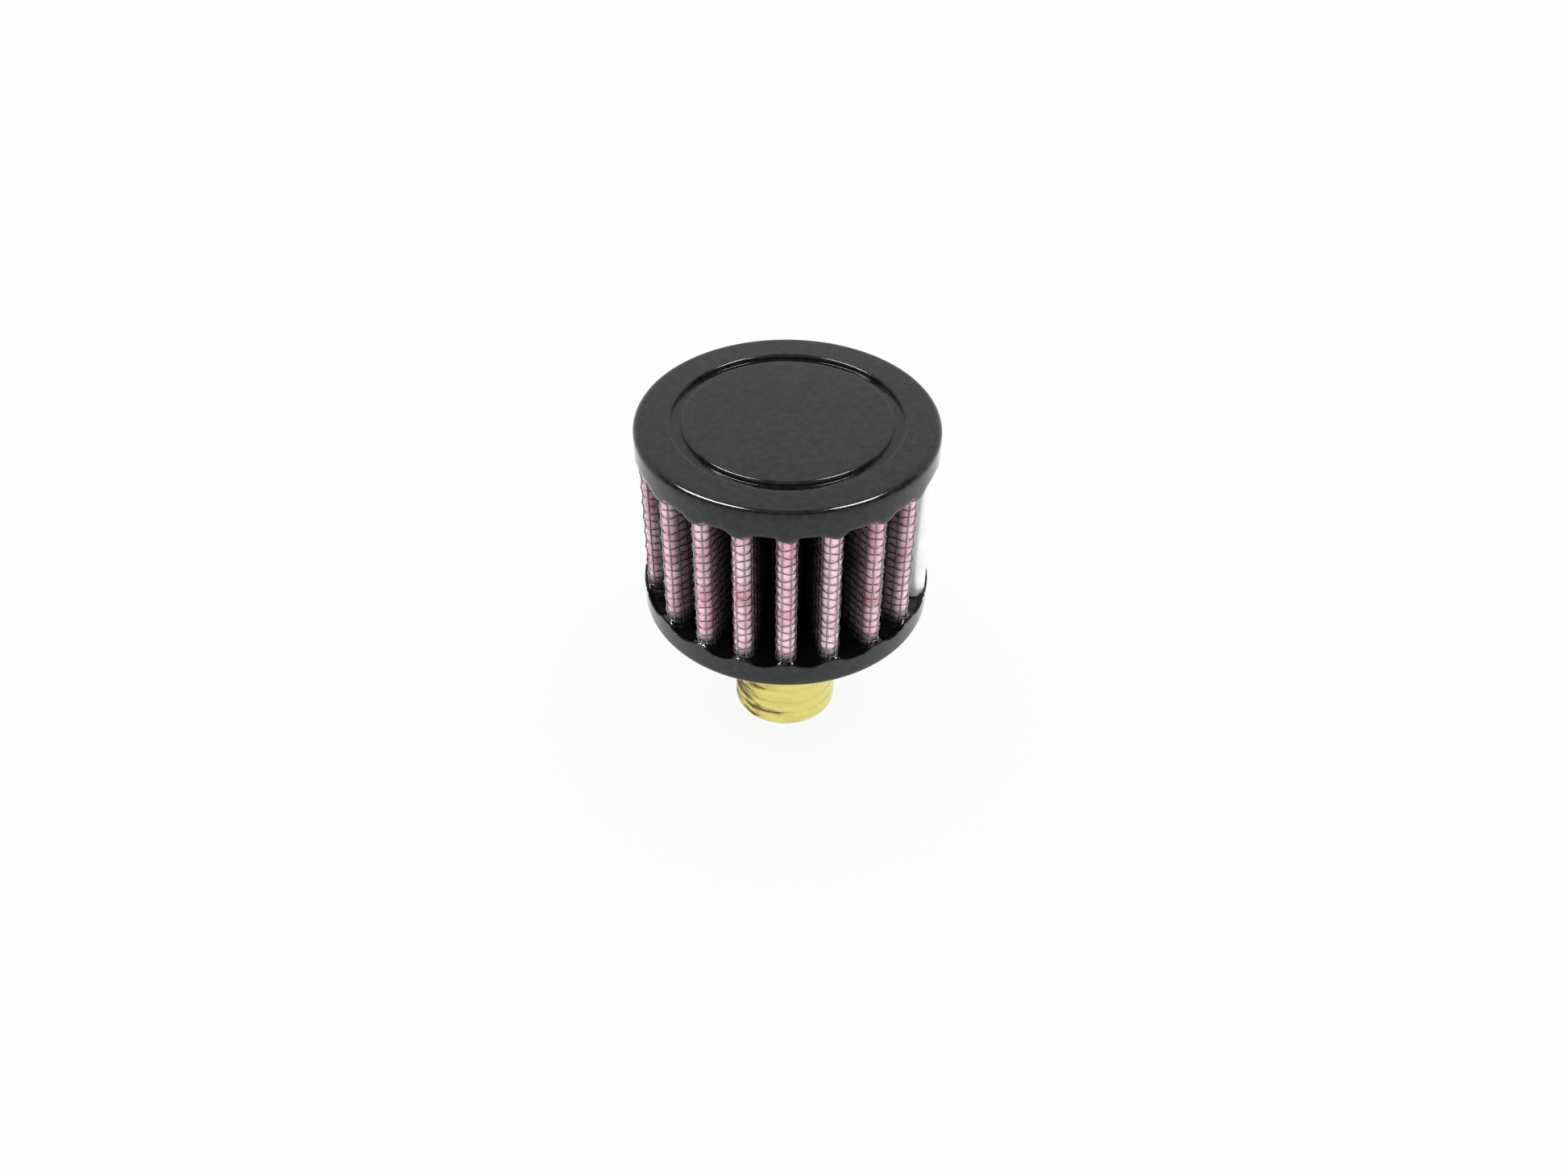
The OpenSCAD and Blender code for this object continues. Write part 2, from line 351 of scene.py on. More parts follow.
class PleatPath:
    """Middle line of the folded strip, seen from above, from cut edge to cut edge.

    Its tips turn anticlockwise and its roots clockwise, so the outside of the strip is
    always to the right of the way along it."""

    def __init__(self, media, metal):
        self.media = media
        self.pitch = 2 * math.pi / media.folds
        self.seam_angle = SEAM_FOLDS_FROM_FRONT * self.pitch - math.pi / 2
        self.tip_distance = media.reach - media.pack_half - media.tip_radius
        self.root_distance = (media.tip_radius + media.root_radius) / math.sin(self.pitch / 2)
        chance = np.random.default_rng(media.seed)
        self.lean = [
            math.radians(LEANS.get(i, chance.uniform(-HIDDEN_LEAN, HIDDEN_LEAN))) for i in range(media.folds)
        ]
        clip_fit, clip_proud = 0.02 * MM, 0.15 * MM
        self.seam_half = media.pack_half + 1.5 * clip_fit
        self.clip_inside = self.seam_half + media.pack_half + clip_fit
        self.clip_centre = media.reach + clip_proud - metal.clip_thickness - self.clip_inside
        self.clip_mouth = self.clip_centre - metal.clip_side
        self.parts = self.make_parts()

    def tip_angle(self, fold):
        """Direction of a fold's tip from the axis."""
        return self.seam_angle + fold * self.pitch + self.lean[fold]

    def tip(self, fold):
        """Centre of a fold's tip."""
        return rotated((self.tip_distance, 0), self.tip_angle(fold))

    def root(self, fold):
        """Centre of the root that follows a fold."""
        return rotated((self.root_distance, 0), self.seam_angle + (fold + 0.5) * self.pitch)

    @staticmethod
    def crossing_line(start, start_turn, end, end_turn):
        """Straight line from one circle to the next. A turn is the circle's radius, positive
        where the line leaves or meets it anticlockwise and negative where clockwise."""
        across = end - start
        distance = np.linalg.norm(across)
        way = rotated(across / distance, math.asin((start_turn - end_turn) / distance))
        right = np.array([way[1], -way[0]])
        return start + start_turn * right, end + end_turn * right

    def make_parts(self):
        """Lines and arcs of the strip in order: two points, or a centre, radius and angles."""
        media = self.media
        seam_turn = self.seam_angle + self.lean[0]
        first = [rotated((x, self.seam_half), seam_turn) for x in (self.clip_centre, self.clip_mouth)]
        final = [rotated((x, -self.seam_half), seam_turn) for x in (self.clip_mouth, self.clip_centre)]
        stops = [(first[1], 0.0)]
        for fold in range(media.folds):
            stops.append((self.root(fold), -media.root_radius))
            if fold + 1 < media.folds:
                stops.append((self.tip(fold + 1), media.tip_radius))
        stops.append((final[0], 0.0))
        lines = [self.crossing_line(a, ta, b, tb) for (a, ta), (b, tb) in zip(stops, stops[1:])]
        parts = [("line", first[0], first[1])]
        for i, line in enumerate(lines):
            parts.append(("line", *line))
            if i + 1 < len(lines):
                centre, turn = stops[i + 1]
                into, out = line[1] - centre, lines[i + 1][0] - centre
                a0 = math.atan2(into[1], into[0])
                a1 = math.atan2(out[1], out[0])
                if turn > 0:
                    a1 = a0 + (a1 - a0) % (2 * math.pi)
                else:
                    a1 = a0 - (a0 - a1) % (2 * math.pi)
                parts.append(("arc", centre, abs(turn), a0, a1))
        parts.append(("line", final[0], final[1]))
        return parts

    def places(self, line_step, arc_step, offset=0.0, least=1):
        """Points along the strip's middle line: x, y, the outward direction and the length so
        far, which is measured at an offset outwards. An arc gets at least so many steps."""
        rows = []
        along = 0.0
        for part in self.parts:
            if part[0] == "line":
                length = np.linalg.norm(part[2] - part[1])
                steps = max(1, round(length / line_step))
                way = (part[2] - part[1]) / length
                for i in range(steps):
                    point = part[1] + way * length * i / steps
                    rows.append((*point, way[1], -way[0], along + length * i / steps))
            else:
                _, centre, radius, a0, a1 = part
                side = 1 if a1 > a0 else -1
                length = (radius + side * offset) * abs(a1 - a0)
                steps = max(least, round(length / arc_step))
                for i in range(steps):
                    angle = a0 + (a1 - a0) * i / steps
                    spoke = np.array([math.cos(angle), math.sin(angle)])
                    point = centre + radius * spoke
                    rows.append((*point, *(side * spoke), along + length * i / steps))
            along += length
        rows.append((*self.parts[-1][2], *rows[-1][2:4], along))
        return np.array(rows)

    def fine_places(self, offset):
        """The points so close together that lengths can be read between them."""
        return self.places(0.1 * MM, 0.05 * MM, offset, least=12)

    def places_at(self, lengths, offset):
        """The same five values at the given lengths along the strip."""
        fine = self.fine_places(offset)
        at = np.stack([np.interp(lengths, fine[:, 4], column) for column in fine.T], axis=-1)
        at[:, 2:4] /= np.linalg.norm(at[:, 2:4], axis=1, keepdims=True)
        return at

    def first_upright(self, offset):
        """Length to the first upright wire. The front pleat's tip lies midway between two."""
        front = self.media.folds - SEAM_FOLDS_FROM_FRONT
        target = self.tip(front) + rotated((self.media.tip_radius, 0), self.tip_angle(front))
        fine = self.fine_places(offset)
        nearest = np.argmin(np.hypot(fine[:, 0] - target[0], fine[:, 1] - target[1]))
        pitch = self.media.upright_pitch
        return (fine[nearest, 4] + pitch / 2) % pitch


def pleat_closeness(path, angles):
    """For each angle round the ring, the distance along the rim to the nearest pleat's middle,
    and that pleat's number."""
    tips = np.array([path.tip_angle(i) for i in range(path.media.folds)])
    gaps = (angles[:, None] - tips[None, :] + math.pi) % (2 * math.pi) - math.pi
    nearest = np.abs(gaps).argmin(axis=1)
    return np.abs(gaps).min(axis=1) * TOP_HIGH.x, nearest


# Materials


def moulded_polyurethane(caps):
    """Soft black polyurethane cast in a polished mould: even satin sheen, a very fine orange
    peel, and a few pale specks of dust."""
    material, tree, shader = new_material(
        "moulded polyurethane", IOR=1.42, Sheen_Weight=0.35, Sheen_Roughness=0.22,
        Sheen_Tint=linear("#e6f2e6"))
    where = object_places(tree)
    # Orange peel of about half a millimetre
    peel = noise(tree, where, 0.5 * MM, 3.0)
    # A cloudy film and a change of gloss a few millimetres across, from handling
    handled = noise(tree, where, 7 * MM, 4.0)
    film = remap(tree, noise(tree, where, 1.1 * MM, 6.0), (0.35, 0.75), (0.0, 1.0))
    clouded = blend(tree, film, linear(caps.plastic), linear("#202120"))
    # Specks of dust a fifth of a millimetre across, one in about nine square millimetres
    specks = add_node(tree, "ShaderNodeTexVoronoi", {"Vector": where, "Scale": 1 / (1.6 * MM)})
    spots = ramp(tree, specks, (0.03, grey(0.5)), (0.055, grey(0.0)))
    rare = calculate(tree, "GREATER_THAN", specks.outputs["Color"], 0.72)
    dust = calculate(tree, "MULTIPLY", spots, rare)
    set_inputs(tree, shader, {
        "Base Color": blend(tree, dust, clouded, linear("#8a8a88")),
        "Roughness": remap(tree, handled, (0.0, 1.0), (0.08, 0.18)),
        "Normal": relief(tree, peel, 0.12, 0.05 * MM),
    })
    return material


def poured_polyurethane():
    """The same polyurethane where it set in the open: wet-looking gloss with soft ripples."""
    material, tree, shader = new_material(
        "poured polyurethane", Base_Color=linear("#0c0c0e"), IOR=1.5,
        Coat_Weight=0.6, Coat_Roughness=0.03)
    ripples = noise(tree, object_places(tree), 1.2 * MM, 2.0)
    set_inputs(tree, shader, {
        "Roughness": remap(tree, ripples, (0.0, 1.0), (0.06, 0.22)),
        "Normal": relief(tree, ripples, 0.5, 0.25 * MM),
    })
    return material


def painted_fold_shade(tree, where):
    """How bright the media is painted, as painted shade: 1 at the tips of the pleats, near 0 deep
    in the folds, where shade falls."""
    spoke = calculate_vector(tree, "MULTIPLY", where, (1.0, 1.0, 0.0))
    radius = calculate_vector(tree, "LENGTH", spoke).outputs["Value"]
    # From a little outside the roots' middle to just short of the tips
    reach = remap(tree, radius, (15 * MM, 24.6 * MM), (0.0, 1.0))
    shades = ramp(
        tree, reach, (0.0, grey(0.015)), (0.31, grey(0.03)), (0.62, grey(0.12)), (0.85, grey(0.34)),
        (0.97, grey(1.0)))
    return shades.outputs["Color"]


def thread_waves(tree, strip, direction):
    """Threads at a real spacing of about 0.28 mm. The strip's coordinates are in millimetres."""
    spacing, wave_turns = 0.28, 3.14159
    return add_node(
        tree, "ShaderNodeTexWave",
        {"Vector": strip, "Scale": 1 / spacing / wave_turns, "Distortion": 2.0, "Detail": 2.0,
         "Detail Scale": 2.0},
        bands_direction=direction)


def oiled_cotton_gauze(media, pour_top):
    """Surgical cotton gauze tinted by filter oil: matt, fuzzy threads, redder where the oil
    pools, black where the poured plastic soaked into its foot, and painted shade deep in the folds."""
    material, tree, shader = new_material(
        "oiled cotton gauze", Sheen_Roughness=0.5, IOR=1.45, Specular_IOR_Level=0.2)
    where = object_places(tree)
    strip = add_node(tree, "ShaderNodeUVMap", uv_map="strip")
    weave = calculate(tree, "MAXIMUM", thread_waves(tree, strip, "X"), thread_waves(tree, strip, "Y"))
    fuzz = noise(tree, where, 0.35 * MM, 6.0)
    soaked = ramp(tree, noise(tree, where, 5 * MM, 5.0), (0.38, grey(0.0)), (0.8, grey(1.0)))
    tint = blend(tree, soaked, linear(media.gauze_pale), linear(media.gauze_deep))
    thread_shade = remap(tree, weave, (0.0, 1.0), (0.78, 1.06))
    fuzz_shade = remap(tree, fuzz, (0.0, 1.0), (0.85, 1.15))
    shade = calculate(tree, "MULTIPLY", thread_shade, fuzz_shade)
    # Painted shade: the cloth's colour and its sheen darken deep in the folds, where shade falls
    depth = painted_fold_shade(tree, where)
    cloth = scaled(tree, tint, calculate(tree, "MULTIPLY", shade, depth))
    # Plastic has soaked into the foot up to an uneven line
    height = add_node(tree, "ShaderNodeSeparateXYZ", {0: where}).outputs["Z"]
    ragged_height = calculate(tree, "MULTIPLY_ADD", noise(tree, where, 0.9 * MM, 3.0), -1.6 * MM, height)
    foot = remap(tree, ragged_height, (pour_top + 1.2 * MM, pour_top + 3.2 * MM), (1.0, 0.0))
    set_inputs(tree, shader, {
        "Base Color": blend(tree, foot, cloth, linear("#121013")),
        "Sheen Weight": calculate(tree, "MULTIPLY", depth, 0.3),
        "Roughness": remap(tree, foot, (0.0, 1.0), (0.85, 0.25)),
        "Normal": relief(tree, calculate(tree, "ADD", weave, fuzz), 0.8, 0.12 * MM),
    })
    return material


def coated_wire(kind, deep, pale):
    """Steel wire dipped in dark epoxy: smooth, with a thin line of gloss. Its colour is partly
    painted: pale patches of painted reflection on the uprights, and painted shade deep in the folds.
    """
    material, tree, shader = new_material(
        "epoxy coated wire, " + kind, IOR=1.6, Coat_IOR=1.8, Coat_Roughness=0.1)
    where = object_places(tree)
    patches = noise(tree, where, 2 * MM, 3.0)
    # Dark and pale patches of colour; on the uprights the pale grey is partly painted reflection of the white
    # room
    coating = ramp(tree, patches, (0.35, linear(deep)), (0.7, linear(pale)))
    # Painted shade: colour, coat and specular level fade out deep in the folds, where shade falls
    depth = painted_fold_shade(tree, where)
    set_inputs(tree, shader, {
        "Base Color": scaled(tree, coating, depth),
        "Coat Weight": depth,
        "Specular IOR Level": calculate(tree, "MULTIPLY", depth, 0.5),
        "Roughness": remap(tree, patches, (0.0, 1.0), (0.25, 0.45)),
    })
    return material


def mill_aluminium():
    """Thin aluminium strip as rolled: bright satin with fine lengthwise lines and dull smears."""
    material, tree, shader = new_material("mill finish aluminium", Metallic=0.7)
    where = object_places(tree)
    lines = noise(tree, stretched(tree, where, (1.0, 1.0, 0.04)), 0.12 * MM, 4.0)
    smears = noise(tree, where, 4 * MM, 4.0)
    set_inputs(tree, shader, {
        "Base Color": ramp(tree, smears, (0.3, linear("#e9eaeb")), (0.7, linear("#fafafa"))),
        "Roughness": remap(tree, smears, (0.0, 1.0), (0.34, 0.5)),
        "Normal": relief(tree, lines, 0.25, 0.03 * MM),
    })
    return material


def turned_brass(metal):
    """Free-cutting brass turned on a lathe: pale yellow with rings from the tool, and brown
    tarnish in streaks, most of it on the left."""
    material, tree, shader = new_material("turned brass", Metallic=1.0)
    where = object_places(tree)
    # Tool lines a quarter of a millimetre apart, a little coarser than real so that they show
    rings = noise(tree, stretched(tree, where, (0.25, 0.25, 1.0)), 0.25 * MM, 3.0)
    stains = noise(tree, stretched(tree, where, (0.6, 0.6, 2.6)), 4.5 * MM, 7.0, Roughness=0.65)
    side = add_node(tree, "ShaderNodeSeparateXYZ", {0: where}).outputs["X"]
    leftward = remap(tree, side, (-9.5 * MM, 4 * MM), (0.16, -0.1))
    stain_level = calculate(tree, "ADD", stains, leftward)
    set_inputs(tree, shader, {
        "Base Color": ramp(
            tree, stain_level, (0.46, linear(metal.brass)), (0.58, linear("#dcc979")),
            (0.68, linear(metal.tarnish))),
        "Roughness": remap(tree, stain_level, (0.35, 0.7), (0.26, 0.55)),
        "Normal": relief(tree, rings, 0.35, 0.03 * MM),
    })
    return material


# The pieces


# Points round the caps and round the spigot
RING_ANGLES, SPIGOT_ANGLES = 756, 180
# Dark and pale patches of the wires' colour. The uprights' pale grey is partly painted reflection
# of the white room on their glossy black coating; the wires that run round are tinted red.
UPRIGHT_COLOURS, ROUND_COLOURS = ("#3f3d46", "#827f88"), ("#351a2e", "#6d3f63")
TOP_LOBE_HALF, TOP_LOBE_SEED, CLIP_SEED = 2.1 * MM, 3, 11
# How far the media stands in the top cap, the gauze in the pour, and the clip in the base's rim
MEDIA_IN_TOP, MEDIA_IN_POUR, CLIP_IN_BASE = 0.9 * MM, 0.8 * MM, 1.2 * MM
# Lower edge of the top cap's skirt from inside to outside: share of its thickness, and lift in mm
SKIRT_EDGE = ((1.0, 0.06), (0.8, 0.0), (0.45, -0.02), (0.15, 0.03), (0.0, 0.16))
# Crest of the base's rim from outside to inside: distance from the wall and height in mm
RIM_CREST = ((0.0, -0.02), (0.02, 0.0), (0.32, -0.04), (0.45, -0.16), (0.55, -0.3))


def rim_angles():
    """Even angles round the ring, as many as the caps' meshes have."""
    return np.arange(RING_ANGLES) * 2 * math.pi / RING_ANGLES


def same_height(profile):
    """Rings of a profile of (radius, height) that is the same all round."""
    return np.repeat(np.array(profile)[:, None, :], RING_ANGLES, axis=1)


def rings_at(rows):
    """Rings from pairs of one radius and a height for each angle round."""
    return np.stack([np.stack([np.full(RING_ANGLES, radius), heights], axis=-1) for radius, heights in rows])


def lobe_heights(path):
    """Height of the top rim's lobes from 0 to 1 round the ring, each a little different."""
    away, nearest = pleat_closeness(path, rim_angles())
    chance = np.random.default_rng(TOP_LOBE_SEED)
    width = TOP_LOBE_HALF * chance.uniform(0.92, 1.1, path.media.folds)
    height = chance.uniform(0.88, 1.04, path.media.folds)
    t = np.clip(away / width[nearest], 0, 1)
    return height[nearest] * (0.5 + 0.5 * np.cos(math.pi * t)) ** 0.6


def make_top_cap(caps, path, material):
    """Closed black cap: a rim with lobes over the pleats, and a groove round its disc."""
    top, low = TOP_HIGH.z, TOP_HIGH.z - caps.top_rim
    rim, edge = TOP_HIGH.x, caps.edge_radius
    skirt = rim - path.media.reach
    inner, outer = caps.groove_radius - caps.groove_width / 2, caps.groove_radius + caps.groove_width / 2
    # The groove has soft upper edges and tight lower ones
    floor, soft, tight, flat = top - caps.groove_depth, 0.4 * MM, 0.1 * MM, 0.2 * MM
    lobes = lobe_heights(path) * caps.top_lobe
    ceiling, wall_low, wall_top = low + 0.1 * MM, low - lobes + SKIRT_EDGE[-1][1] * MM, top - edge
    under = [(share * rim, ceiling) for share in (0.2, 0.5, 0.8, 0.95)] + [(rim - skirt, ceiling)]
    hem = rings_at([(rim - skirt * share, low - lobes + lift * MM) for share, lift in SKIRT_EDGE])
    wall = rings_at([(rim, wall_low * (1 - t) + wall_top * t) for t in (0.2, 0.45, 0.75, 1.0)])
    face = bend(rim, wall_top, rim - edge, top, (rim - edge, wall_top), 10)[1:]
    face += [(rim - edge - 0.3 * MM, top), ((outer + rim - edge) / 2, top), (outer + soft + flat, top)]
    face += bend(outer + soft, top, outer, top - soft, (outer + soft, top - soft), 6)
    face += bend(outer, floor + tight, outer - tight, floor, (outer - tight, floor + tight), 4)
    face += bend(inner + tight, floor, inner, floor + tight, (inner + tight, floor + tight), 4)
    face += bend(inner, top - soft, inner - soft, top, (inner - soft, top - soft), 6)
    face += [(inner - soft - flat, top)] + [(inner * share, top) for share in (0.85, 0.6, 0.3, 0.1)]
    rings = np.concatenate([same_height(under), hem, wall, same_height(face)])
    return turned_object("top_cap_moulding", rings, material)


def distance_to_strip(path, points):
    """Distance of each point in plan from the strip's middle line."""
    line = path.places(0.5 * MM, 0.25 * MM)[:, :2]
    nearest = np.full(len(points), np.inf)
    for part in np.array_split(line, 40):
        away = np.linalg.norm(points[:, None, :] - part[None, :, :], axis=2).min(axis=1)
        nearest = np.minimum(nearest, away)
    return nearest


def fading(distance, reach):
    """1 at no distance, fading over the reach."""
    return np.exp(-np.clip(distance, 0, None) / reach)


def make_base_cap(caps, metal, path, moulded, poured):
    """Black base: a plain outside, a rim that climbs each pleat, and the glossy pour inside."""
    low, edge, rim, reach = BASE_LOW.z, caps.edge_radius, BASE_HIGH.x, path.media.reach
    level, soft = low + caps.base_rim, 0.3 * MM
    pour = level - caps.pour_drop
    hole = metal.spigot_radius - metal.shoulder + 0.02 * MM
    away, _ = pleat_closeness(path, rim_angles())
    lobe_flat, lobe_end = 1.4 * MM, 3.7 * MM
    lobe = np.clip((lobe_end - away) / (lobe_end - lobe_flat), 0, 1) ** 1.8
    crest = level + lobe * caps.base_lobe

    outside = [(hole, low + soft), (hole + soft, low), (hole + 2 * MM, low), ((hole + rim) / 2, low)]
    outside += [(rim - edge - soft, low)]
    outside += bend(rim - edge, low, rim, low + edge, (rim - edge, low + edge), 10)
    wall_steps = (0.25, 0.55, 0.8, 1.0)
    wall = rings_at([(rim, (low + edge) * (1 - t) + (crest - 0.2 * MM) * t) for t in wall_steps])
    lip = rings_at([(rim - inset * MM, crest + lift * MM) for inset, lift in RIM_CREST])
    pleats_end, hollow = 14 * MM, 13.5 * MM
    radii = np.concatenate([
        np.linspace(reach - 0.15 * MM, pleats_end, 44), np.linspace(hollow, hole + soft, 6)])
    turn = rim_angles()
    spots = np.stack([np.outer(radii, np.cos(turn)), np.outer(radii, np.sin(turn))], axis=-1)
    gap = distance_to_strip(path, spots.reshape(-1, 2)).reshape(spots.shape[:2]) - path.media.pack_half
    to_rim = reach + 0.1 * MM - radii[:, None]
    climb = caps.climb * fading(gap, 0.35 * MM)
    climb = climb + 0.35 * caps.climb * fading(to_rim, 0.3 * MM)
    # At a pleat the pour rises with the rim and wets the foot in front of the wires
    wetted = lobe * (caps.base_lobe + caps.pour_drop) * fading(to_rim, 0.7 * MM)
    heights = pour + wetted + np.minimum(climb, caps.climb * 1.1)
    pool = np.stack([np.repeat(radii[:, None], RING_ANGLES, axis=1), heights], axis=-1)
    seat = same_height([(hole, pour + 0.1 * MM)])
    rings = np.concatenate([same_height(outside), wall, lip, pool, seat])
    piece = turned_object("base_cap_moulding", rings, moulded, loop=True)
    piece.data.materials.append(poured)
    # The pour's gloss starts two rings short of the crest's inner end
    first_poured = len(outside) + len(wall) + len(lip) - 2
    slots = np.zeros(len(piece.data.polygons), dtype=np.int32)
    slots[first_poured * RING_ANGLES:(len(rings) - 1) * RING_ANGLES] = 1
    piece.data.polygons.foreach_set("material_index", slots)
    return piece


def screen_offset(media):
    """Offset of a screen's middle from the middle of the gauze."""
    return media.gauze_half + media.wire_radius + 0.5 * media.row_wave + 0.03 * MM


def row_levels(media, low, high):
    """Number of wires that run round, and the height of the lowest."""
    rows = int((high - low) / media.row_pitch)
    return rows, (high + low - (rows - 1) * media.row_pitch) / 2


def strip_points(place, offsets, heights):
    """Grid of points that lie off the places along the strip, outwards, at the heights."""
    grid = np.zeros((len(place), len(heights), 3))
    grid[..., :2] = place[:, None, :2] + place[:, None, 2:4] * offsets[..., None]
    grid[..., 2] = heights
    return grid.reshape(-1, 3)


def make_gauze(media, path, low, high, material):
    """The folded gauze: a closed strip whose outer face swells out between the wires."""
    pitch = media.upright_pitch
    offset = screen_offset(media)
    start = path.first_upright(offset)
    first_row = row_levels(media, low, high)[1]
    place = path.places(pitch / 3, pitch / 4, offset, least=6)
    along, count = place[:, 4], len(place)
    levels = 4 * round((high - low) / media.row_pitch) + 1
    heights = np.linspace(low, high, levels)
    chance = np.random.default_rng(media.seed)
    swell_along = np.abs(np.sin(math.pi * (along - start) / pitch)) ** 0.7
    swell_up = np.abs(np.sin(math.pi * (heights - first_row) / media.row_pitch)) ** 0.7
    swell = media.puff * swell_along[:, None] * swell_up[None, :]
    swell = swell + chance.normal(0, 0.02 * MM, swell.shape)
    back_levels = 6
    outer = strip_points(place, media.gauze_half + swell, heights)
    inner = strip_points(
        place, np.full((count, 1), -media.gauze_half), np.linspace(low, high, back_levels))
    points = np.vstack([outer, inner])
    back = len(outer)
    faces = grid_faces(count, levels)
    faces += [tuple(back + k for k in face[::-1]) for face in grid_faces(count, back_levels)]
    for i in range(count - 1):
        a, b = i * levels, (i + 1) * levels
        c, d = back + i * back_levels, back + (i + 1) * back_levels
        faces.append((b, a, c, d))
        faces.append((a + levels - 1, b + levels - 1, d + back_levels - 1, c + back_levels - 1))
    for i, flip in ((0, False), (count - 1, True)):
        side = [i * levels + k for k in range(levels)]
        side += [back + i * back_levels + k for k in reversed(range(back_levels))]
        faces.append(tuple(side if flip else side[::-1]))
    piece = mesh_object("pleated_gauze", points, faces, material)
    strip = piece.data.uv_layers.new(name="strip")
    lengths = np.concatenate([np.repeat(along, levels), np.repeat(along, back_levels)])
    corners = np.zeros(len(piece.data.loops), dtype=np.int32)
    piece.data.loops.foreach_get("vertex_index", corners)
    strip.data.foreach_set("uv", (np.stack([lengths, points[:, 2]], axis=-1) / MM)[corners].ravel())
    return piece


def path_object(name, place, parity):
    """A line of points that carries each point's outward direction, length and parity."""
    mesh = bpy.data.meshes.new(name)
    points = [(p[0], p[1], 0.0) for p in place]
    mesh.from_pydata(points, [(i, i + 1) for i in range(len(points) - 1)], [])
    outward = mesh.attributes.new("outward", "FLOAT_VECTOR", "POINT")
    outward.data.foreach_set("vector", [c for p in place for c in (p[2], p[3], 0.0)])
    for key, values in (("along", place[:, 4]), ("parity", parity)):
        layer = mesh.attributes.new(key, "FLOAT", "POINT")
        layer.data.foreach_set("value", values)
    return put_in_scene(name, mesh)


# Inputs of both wire trees, by kind of socket
WIRE_INPUTS = {
    "NodeSocketInt": ("Count", "Wire Sides", "Seed"),
    "NodeSocketFloat": ("Spacing", "Crossing Spacing", "First Crossing", "Bottom", "Height",
                        "Wire Radius", "Wave", "Sheet Offset"),
    "NodeSocketVector": ("Stray",),
    "NodeSocketMaterial": ("Material",),
}
PATH_LAYERS = {"outward": "FLOAT_VECTOR", "along": "FLOAT", "parity": "FLOAT"}


